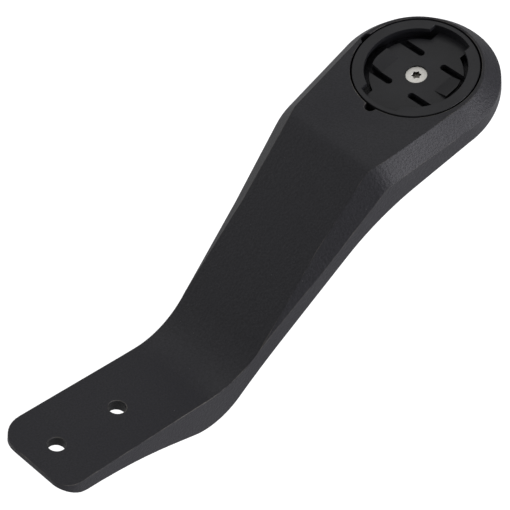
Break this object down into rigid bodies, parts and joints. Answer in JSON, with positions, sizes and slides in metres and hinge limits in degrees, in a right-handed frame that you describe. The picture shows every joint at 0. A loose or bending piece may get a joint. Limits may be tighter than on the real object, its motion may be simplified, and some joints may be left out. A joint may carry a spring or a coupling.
{
  "type": "cycling computer mount",
  "caption": "Out-front handlebar mount for a cycling computer: a bent, bevelled arm with a flat bolt-on tongue and a round head holding a bayonet socket with sprung detents.",
  "frame": {"origin": "centre of the two bolt holes, on the tongue's flat top face, which seats under the handlebar", "axes": "+Z out of the tongue's top face, +X forward along the tongue towards the head, +Y to the rider's left"},
  "size_m": [0.1439, 0.0424, 0.073],
  "materials": {
    "arm": "black anodised, bead blasted",
    "puck": "fine moulded texture",
    "screw": "satin stainless"
  },
  "bodies": {
    "bracket": {"arm": "arm", "puck_body": "puck", "puck_screw": "screw"},
    "left_tongue": {"left_detent_tongue": "puck"},
    "right_tongue": {"right_detent_tongue": "puck"}
  },
  "joints": [
    {"name": "left_tongue_flex", "type": "hinge", "parent": "bracket", "child": "left_tongue", "pos_m": [0.10545, 0.0039, 0.05463], "axis": [-0.9568, 0, -0.2907], "range_deg": [0, 6], "stiffness_Nm_per_rad": 0.9},
    {"name": "right_tongue_flex", "type": "hinge", "parent": "bracket", "child": "right_tongue", "pos_m": [0.10545, -0.0039, 0.05463], "axis": [0.9568, 0, 0.2907], "range_deg": [0, 6], "stiffness_Nm_per_rad": 0.9}
  ]
}
